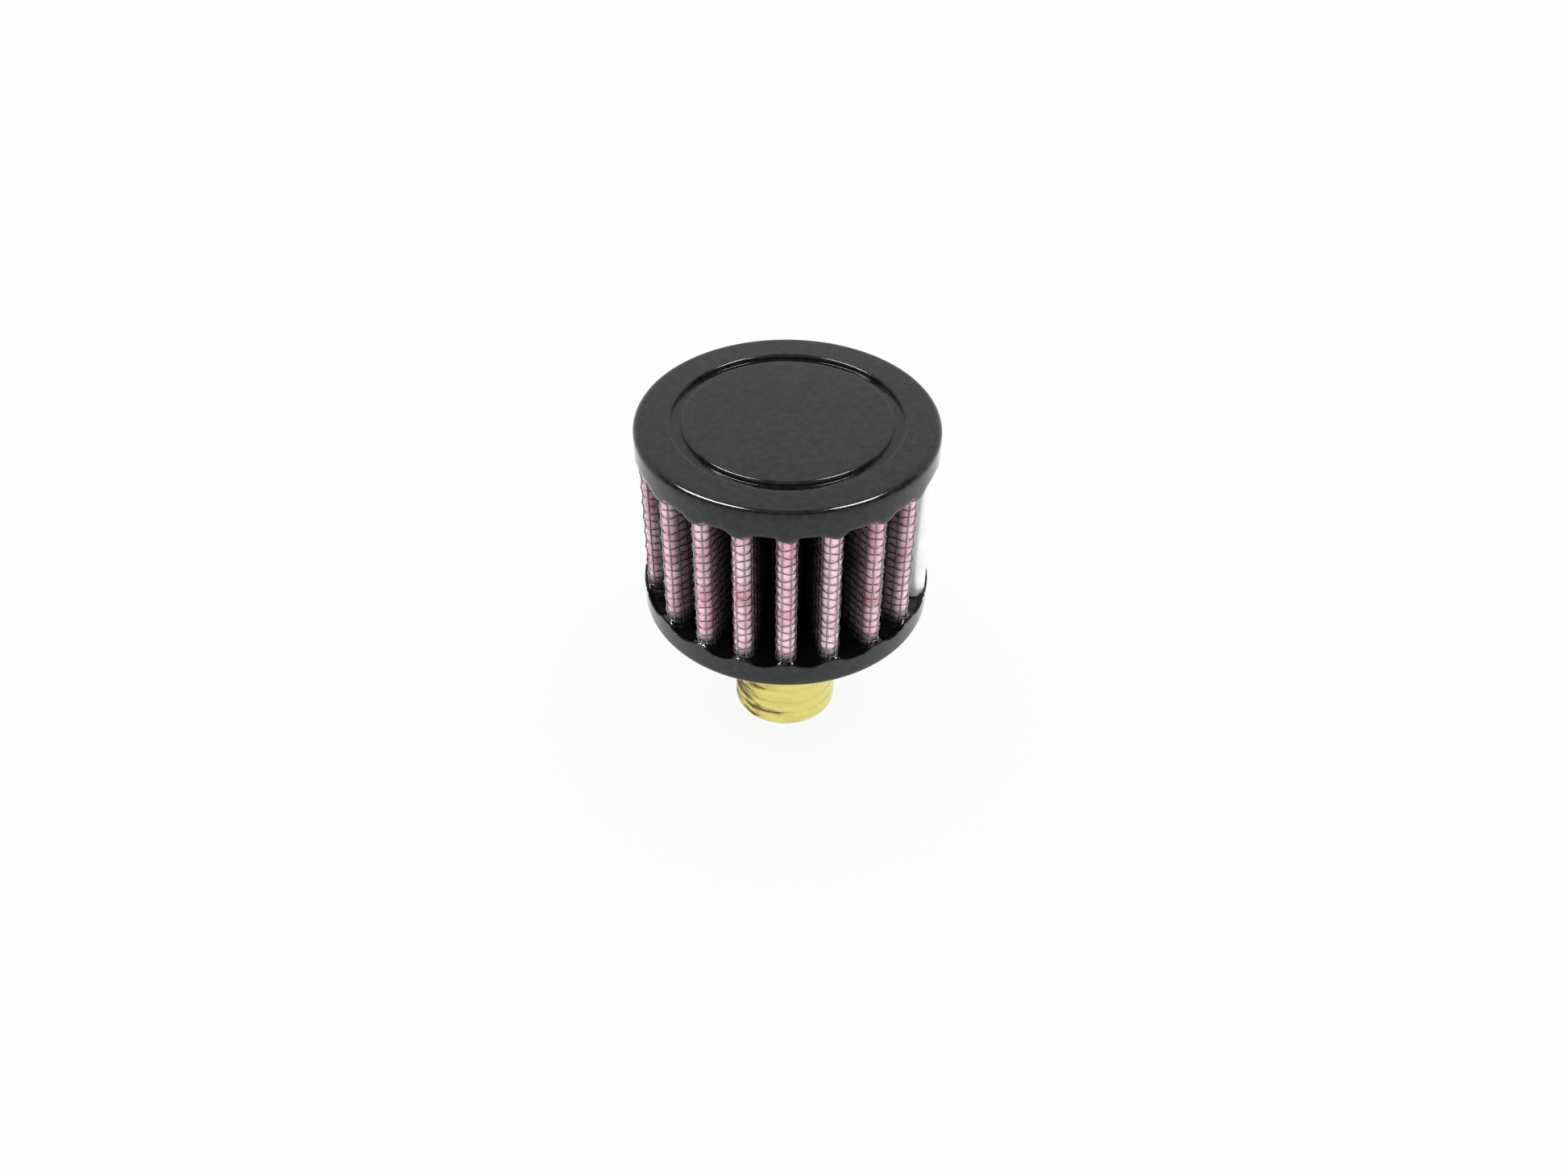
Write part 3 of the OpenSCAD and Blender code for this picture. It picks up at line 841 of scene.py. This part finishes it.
def wire_tree(name, upright):
    """Geometry Nodes tree that weaves one set of wires along a pleated path.

    The wires that run round are copies of the path, one above the other. The uprights stand
    on the path's points. Both swing over and under the wires that they cross."""
    tree = bpy.data.node_groups.new(name, "GeometryNodeTree")
    tree.interface.new_socket(name="Path", in_out="INPUT", socket_type="NodeSocketGeometry")
    for kind, labels in WIRE_INPUTS.items():
        for label in labels:
            tree.interface.new_socket(name=label, in_out="INPUT", socket_type=kind)
    tree.interface.new_socket(name="Wires", in_out="OUTPUT", socket_type="NodeSocketGeometry")
    given = add_node(tree, "NodeGroupInput").outputs
    outward, along, parity = (
        add_node(tree, "GeometryNodeInputNamedAttribute", {"Name": layer}, data_type=kind).outputs[0]
        for layer, kind in PATH_LAYERS.items())
    place = add_node(tree, "GeometryNodeInputPosition")

    if upright:
        top = calculate(tree, "ADD", given["Bottom"], given["Height"])
        low_end = add_node(tree, "ShaderNodeCombineXYZ", {"Z": given["Bottom"]})
        high_end = add_node(tree, "ShaderNodeCombineXYZ", {"Z": top})
        line = add_node(tree, "GeometryNodeCurvePrimitiveLine", {"Start": low_end, "End": high_end})
        line = add_node(tree, "GeometryNodeResampleCurve", {"Curve": line, "Count": given["Count"]})
        stood = add_node(tree, "GeometryNodeInstanceOnPoints", {"Points": given["Path"], "Instance": line})
        wires = add_node(tree, "GeometryNodeRealizeInstances", {0: stood})
        side = parity
        travelled = add_node(tree, "ShaderNodeSeparateXYZ", {0: place}).outputs["Z"]
    else:
        line = add_node(tree, "GeometryNodeMeshToCurve", {"Mesh": given["Path"]})
        wires = add_node(
            tree, "GeometryNodeDuplicateElements",
            {"Geometry": line, "Amount": given["Count"]}, domain="SPLINE")
        number = wires.outputs["Duplicate Index"]
        # Neighbouring rows start on opposite sides, and a row is over where an upright is under
        side = calculate(tree, "COSINE", calculate(tree, "MULTIPLY", number, math.pi))
        side = calculate(tree, "MULTIPLY", side, -1.0)
        travelled = along
        lift = calculate(tree, "MULTIPLY_ADD", number, given["Spacing"], given["Bottom"])

    past = calculate(tree, "SUBTRACT", travelled, given["First Crossing"])
    crossings = calculate(tree, "DIVIDE", past, given["Crossing Spacing"])
    swing = calculate(tree, "COSINE", calculate(tree, "MULTIPLY", crossings, math.pi))
    swing = calculate(tree, "MULTIPLY", swing, side)
    swing = calculate(tree, "MULTIPLY", swing, given["Wave"])
    move = scaled(tree, outward, calculate(tree, "ADD", swing, given["Sheet Offset"]))
    if not upright:
        raised = add_node(tree, "ShaderNodeCombineXYZ", {"Z": lift})
        move = calculate_vector(tree, "ADD", move, raised)
    moved = add_node(tree, "GeometryNodeSetPosition", {"Geometry": wires, "Offset": move})

    # The weave strays over a few meshes
    stray = add_node(
        tree, "ShaderNodeTexNoise",
        {"Vector": place, "W": given["Seed"], "Scale": 1 / (2.6 * MM), "Detail": 1.0},
        noise_dimensions="4D")
    stray = calculate_vector(tree, "SUBTRACT", stray.outputs["Color"], (0.5, 0.5, 0.5))
    stray = calculate_vector(tree, "MULTIPLY", stray, given["Stray"])
    moved = add_node(tree, "GeometryNodeSetPosition", {"Geometry": moved, "Offset": stray})
    section = add_node(
        tree, "GeometryNodeCurvePrimitiveCircle",
        {"Resolution": given["Wire Sides"], "Radius": given["Wire Radius"]})
    solid = add_node(
        tree, "GeometryNodeCurveToMesh",
        {"Curve": moved, "Profile Curve": section.outputs["Curve"], "Fill Caps": True})
    smooth = add_node(tree, "GeometryNodeSetShadeSmooth", {"Geometry": solid})
    real = add_node(tree, "GeometryNodeRealizeInstances", {0: smooth})
    dressed = add_node(
        tree, "GeometryNodeSetMaterial", {"Geometry": real, "Material": given["Material"]})
    add_node(tree, "NodeGroupOutput", {"Wires": dressed})
    return tree


def woven_wires(name, holder, tree, values, material):
    """Runs a wire tree on a path and returns the result as a plain mesh object."""
    modifier = holder.modifiers.new("weave", "NODES")
    modifier.node_group = tree
    sockets = {item.name: item.identifier for item in tree.interface.items_tree}
    for key, value in {**values, "Material": material}.items():
        modifier[sockets[key]] = value
    depsgraph = bpy.context.evaluated_depsgraph_get()
    mesh = bpy.data.meshes.new_from_object(holder.evaluated_get(depsgraph))
    mesh.name = name
    holder.modifiers.remove(modifier)
    bpy.data.objects.remove(holder)
    for key in PATH_LAYERS:
        layer = mesh.attributes.get(key)
        if layer:
            mesh.attributes.remove(layer)
    return put_in_scene(name, mesh)


def make_screen(media, path, trees, outside, low, high, wires):
    """Both sets of wires of one screen, as two pieces. The hidden screen's mesh is coarser."""
    label, sides, bends = ("outer", 5, 2) if outside else ("inner", 3, 1)
    pitch = media.upright_pitch
    offset = screen_offset(media) if outside else -screen_offset(media)
    start = path.first_upright(offset)
    total = path.places(MM, MM, offset)[-1, 4]
    # No upright stands closer than this to the strip's far end
    end_clear = 0.3 * MM
    feet = path.places_at(np.arange(start, total - end_clear, pitch), offset)
    rows, first_row = row_levels(media, low, high)
    shared = {"Wire Sides": sides, "Sheet Offset": offset, "Seed": media.seed, "Height": high - low}
    upright_stray, row_stray = 0.8 * media.uneven, 0.5 * media.uneven
    parity = np.array([1.0 if i % 2 else -1.0 for i in range(len(feet))])
    standing = woven_wires(
        label + "_screen_uprights", path_object("feet", feet, parity), trees["upright"],
        {**shared, "Wire Radius": media.wire_radius, "Count": bends * rows + 1,
         "First Crossing": first_row, "Crossing Spacing": media.row_pitch, "Bottom": low,
         "Wave": media.upright_wave, "Stray": (upright_stray, upright_stray, 0.0)}, wires[0])
    place = path.places(pitch / bends, pitch / 2 / bends, offset, least=2 + bends)
    running = woven_wires(
        label + "_screen_rounds", path_object("path", place, np.zeros(len(place))), trees["round"],
        {**shared, "Wire Radius": media.round_radius, "Count": rows, "First Crossing": start,
         "Crossing Spacing": pitch, "Bottom": first_row, "Spacing": media.row_pitch,
         "Wave": media.row_wave, "Stray": (row_stray, row_stray, 2.5 * media.uneven)}, wires[1])
    return standing, running


def make_seam_clip(metal, path, low, high, material):
    """Bright strip folded over the two cut ends of the media, a little uneven along its edges."""
    centre, inside, outside = path.clip_centre, path.clip_inside, path.clip_inside + metal.clip_thickness
    arc_steps, lip = 24, 0.12 * MM

    def half_turn(radius, way):
        """Half a circle round the clip's fold, anticlockwise or clockwise."""
        angles = [way * math.pi * (i / arc_steps - 0.5) for i in range(arc_steps + 1)]
        return [(centre + radius * math.cos(angle), radius * math.sin(angle)) for angle in angles]

    along = np.linspace(centre, path.clip_mouth, 6)[1:]
    mouth = along[-1]
    leg = [(x, outside) for x in along[:-1]]
    leg += [(mouth + lip, outside), (mouth, outside - lip), (mouth, inside + lip), (mouth + lip, inside)]
    leg += [(x, inside) for x in along[-2::-1]]
    outline = half_turn(outside, 1) + leg + half_turn(inside, -1) + [(x, -y) for x, y in reversed(leg)]

    chance = np.random.default_rng(CLIP_SEED)
    heights = np.linspace(low, high, 30)
    # The fold wanders a hundredth of a millimetre or so from each height to the next
    drift = np.cumsum(chance.normal(0, 0.012 * MM, (len(heights), 2)), axis=0)
    turn = path.seam_angle + path.lean[0]
    points = []
    for z, (shift_x, shift_y) in zip(heights, drift):
        for x, y in outline:
            sideways = y + shift_y * (1 if x > centre else 0.5)
            points.append((*rotated((x + min(shift_x, 0), sideways), turn), z))
    count = len(outline)
    faces = grid_faces(len(heights), count, close_columns=True)
    faces.append(tuple(range(count))[::-1])
    faces.append(tuple((len(heights) - 1) * count + k for k in range(count)))
    return mesh_object("seam_clip_strip", points, faces, material)


def make_spigot(metal, material):
    """Brass tube with a chamfered end, shallow tool rings, and the flange inside the base."""
    low, high, soft, break_edge = SPIGOT_LOW.z, SPIGOT_HIGH.z, 0.08 * MM, 0.3 * MM
    radius, bore, chamfer = metal.spigot_radius, metal.bore_radius, metal.chamfer
    flange, neck = SPIGOT_HIGH.x, radius - metal.shoulder
    neck_low = BASE_LOW.z - 0.02 * MM
    flange_low, flange_high = BASE_LOW.z + 1.6 * MM, BASE_LOW.z + 2.8 * MM
    profile = [(bore, low + break_edge), (bore + break_edge - soft, low + soft / 2)]
    profile += [(bore + break_edge + soft, low)]
    profile += [(radius - chamfer - soft, low), (radius - chamfer + soft / 2, low + soft / 2)]
    profile += [(radius - soft / 2, low + chamfer - soft / 2), (radius, low + chamfer + soft)]
    mark_depth, mark_half = 0.035 * MM, 0.09 * MM
    z = low + metal.tool_mark_pitch
    while z < neck_low - 4 * mark_half:
        profile += [(radius, z - mark_half), (radius - mark_depth, z - mark_half / 3)]
        profile += [(radius - mark_depth, z + mark_half / 3), (radius, z + mark_half)]
        z += metal.tool_mark_pitch
    profile += [(radius, neck_low - soft), (radius - soft, neck_low), (neck, neck_low)]
    profile += [(neck, flange_low), (flange, flange_low), (flange, flange_high), (neck, flange_high)]
    profile += [(neck, high - soft), (neck - soft, high), (bore + soft, high), (bore, high - soft)]
    profile += [(bore, (low + high) / 2)]
    rings = np.repeat(np.array(profile)[:, None, :], SPIGOT_ANGLES, axis=1)
    return turned_object("turned_spigot", rings, material, loop=True)


# Operators


class FILTER_OT_caps(bpy.types.Operator):
    """Make the two moulded caps"""

    bl_idname = "filter.caps"
    bl_label = "Moulded Caps"

    def execute(self, context):
        caps, metal = context.scene.filter_caps, context.scene.filter_metal
        path = PleatPath(context.scene.filter_media, metal)
        moulded, poured = moulded_polyurethane(caps), poured_polyurethane()
        fasten(make_top_cap(caps, path, moulded), "top_cap")
        fasten(make_base_cap(caps, metal, path, moulded, poured), "base_cap")
        return {"FINISHED"}


class FILTER_OT_media(bpy.types.Operator):
    """Make the pleated gauze and its two woven screens"""

    bl_idname = "filter.media"
    bl_label = "Pleated Media"

    def execute(self, context):
        caps, media = context.scene.filter_caps, context.scene.filter_media
        path = PleatPath(media, context.scene.filter_metal)
        pour_top = BASE_LOW.z + caps.base_rim - caps.pour_drop
        low, high = pour_top - MEDIA_IN_POUR, TOP_HIGH.z - caps.top_rim + MEDIA_IN_TOP
        gauze = make_gauze(media, path, low, high, oiled_cotton_gauze(media, pour_top))
        fasten(gauze, "gauze")
        wires = coated_wire("uprights", *UPRIGHT_COLOURS), coated_wire("rounds", *ROUND_COLOURS)
        trees = {"upright": wire_tree("upright wires", True), "round": wire_tree("round wires", False)}
        for outside, node in ((True, "outer_screen"), (False, "inner_screen")):
            for piece in make_screen(media, path, trees, outside, low, high, wires):
                fasten(piece, node)
        return {"FINISHED"}


class FILTER_OT_seam_clip(bpy.types.Operator):
    """Make the folded clip over the media's seam"""

    bl_idname = "filter.seam_clip"
    bl_label = "Seam Clip"

    def execute(self, context):
        caps, metal = context.scene.filter_caps, context.scene.filter_metal
        path = PleatPath(context.scene.filter_media, metal)
        low = BASE_LOW.z + caps.base_rim - CLIP_IN_BASE
        high = TOP_HIGH.z - caps.top_rim + MEDIA_IN_TOP
        fasten(make_seam_clip(metal, path, low, high, mill_aluminium()), "seam_clip")
        return {"FINISHED"}


class FILTER_OT_spigot(bpy.types.Operator):
    """Make the turned brass spigot"""

    bl_idname = "filter.spigot"
    bl_label = "Spigot"

    def execute(self, context):
        metal = context.scene.filter_metal
        fasten(make_spigot(metal, turned_brass(metal)), "spigot")
        return {"FINISHED"}


def white_board():
    """Matt white board, lit so evenly that the camera and the gloss see it as bare white with
    only a faint shadow."""
    material, tree, shader = new_material("matt white board", Base_Color=linear("#f4f4f4"), Roughness=0.9)
    ray = add_node(tree, "ShaderNodeLightPath").outputs
    brightness = choose(tree, ray["Is Camera Ray"], 1.0, 0.97)
    glow = add_node(tree, "ShaderNodeEmission", {"Color": linear("#fdfefd"), "Strength": brightness})
    looked_at = calculate(tree, "MAXIMUM", ray["Is Camera Ray"], ray["Is Glossy Ray"])
    share = calculate(tree, "MULTIPLY", looked_at, 0.93)
    mixed = add_node(tree, "ShaderNodeMixShader", {0: share, 1: shader, 2: glow})
    set_inputs(tree, tree.nodes["Material Output"], {"Surface": mixed})
    return material


def white_room(stage):
    """White room round the filter, which the gloss shows darker above and behind the camera."""
    world = bpy.data.worlds.new("white room")
    world.use_nodes = True
    tree = world.node_tree
    # Height and way ahead of a direction, and how far it is from the middle of the dark strip
    level = add_node(tree, "ShaderNodeTexCoord").outputs["Generated"]
    level = calculate_vector(tree, "NORMALIZE", calculate_vector(tree, "MULTIPLY", level, (0, 1, 1)))
    ahead = add_node(tree, "ShaderNodeSeparateXYZ", {0: level}).outputs["Y"]
    from_strip = calculate(tree, "ABSOLUTE", calculate(tree, "ADD", ahead, 0.12))
    room = remap(tree, from_strip, (0.48, 0.66), (0.1, 1.0), interpolation_type="SMOOTHSTEP")
    mirrored = calculate(tree, "MULTIPLY", room, stage.surroundings)
    ray = add_node(tree, "ShaderNodeLightPath").outputs
    lit = choose(tree, ray["Is Glossy Ray"], stage.soft_light, mirrored)
    shown = choose(tree, ray["Is Camera Ray"], lit, 1.0)
    set_inputs(tree, tree.nodes["Background"], {"Strength": shown, "Color": linear("#fdfefe")})
    return world


# The two strip lamps: name, place to the side and length, and what they share, in metres
LAMPS = (("left lamp", -0.495, 0.59), ("right lamp", 0.37, 0.32))
LAMP_WIDTH, LAMP_AHEAD, LAMP_HEIGHT = 0.16, 0.05, 0.86
FLOOR_HALF = 4.0
SENSOR_WIDTH = 36


class FILTER_OT_stage(bpy.types.Operator):
    """Set up the white floor, the soft light and the camera"""

    bl_idname = "filter.stage"
    bl_label = "Stage"

    def execute(self, context):
        scene, stage = context.scene, context.scene.filter_stage
        scene.view_settings.view_transform = "Standard"
        signs = ((-1, -1), (1, -1), (1, 1), (-1, 1))
        corners = [(x * FLOOR_HALF, y * FLOOR_HALF, 0) for x, y in signs]
        floor = mesh_object("floor", corners, [(0, 1, 2, 3)], white_board())
        scene.world = white_room(stage)

        # Strip lamps overhead, which only the glossy surfaces show
        for label, sideways, length in LAMPS:
            lamp = bpy.data.lights.new(label, "AREA")
            lamp.shape = "RECTANGLE"
            lamp.size, lamp.size_y = length, LAMP_WIDTH
            lamp.energy = stage.lamp_radiance * math.pi * lamp.size * lamp.size_y
            holder = put_in_scene(label, lamp)
            holder.location = (sideways, LAMP_AHEAD, LAMP_HEIGHT)
            holder.visible_diffuse = False

        camera = bpy.data.cameras.new("camera")
        camera.lens = stage.lens
        camera.sensor_width = SENSOR_WIDTH
        camera.clip_start = 0.01
        holder = put_in_scene("camera", camera)
        down, turn = stage.camera_down, stage.camera_turn
        forward = Vector((-math.sin(turn) * math.cos(down), math.cos(turn) * math.cos(down), -math.sin(down)))
        view = forward.to_track_quat("-Z", "Y").to_matrix().to_4x4()
        roll = Matrix.Rotation(stage.camera_roll, 4, "Z")
        holder.matrix_world = Matrix.Translation(stage.camera_place) @ view @ roll
        scene.camera = holder
        return {"FINISHED"}


class FILTER_PT_panel(bpy.types.Panel):
    """Lists the filter's pieces in the order that they are made"""

    bl_label = "Breather Filter"
    bl_idname = "FILTER_PT_panel"
    bl_space_type = "VIEW_3D"
    bl_region_type = "UI"
    bl_category = "Filter"

    def draw(self, context):
        column = self.layout.column()
        for operator in OPERATORS:
            column.operator(operator.bl_idname)


OPERATORS = (FILTER_OT_stage, FILTER_OT_caps, FILTER_OT_media, FILTER_OT_seam_clip, FILTER_OT_spigot)
GROUPS = {
    "filter_caps": FilterCapSettings,
    "filter_media": FilterMediaSettings,
    "filter_metal": FilterMetalSettings,
    "filter_stage": FilterStageSettings,
}


def register():
    for group in GROUPS.values():
        bpy.utils.register_class(group)
    for operator in OPERATORS:
        bpy.utils.register_class(operator)
    bpy.utils.register_class(FILTER_PT_panel)
    for key, group in GROUPS.items():
        setattr(bpy.types.Scene, key, PointerProperty(type=group))


def unregister():
    for key in GROUPS:
        delattr(bpy.types.Scene, key)
    bpy.utils.unregister_class(FILTER_PT_panel)
    for operator in reversed(OPERATORS):
        bpy.utils.unregister_class(operator)
    for group in reversed(list(GROUPS.values())):
        bpy.utils.unregister_class(group)


def main():
    register()
    for operator in OPERATORS:
        group, name = operator.bl_idname.split(".")
        getattr(getattr(bpy.ops, group), name)()


if __name__ == "__main__":
    main()
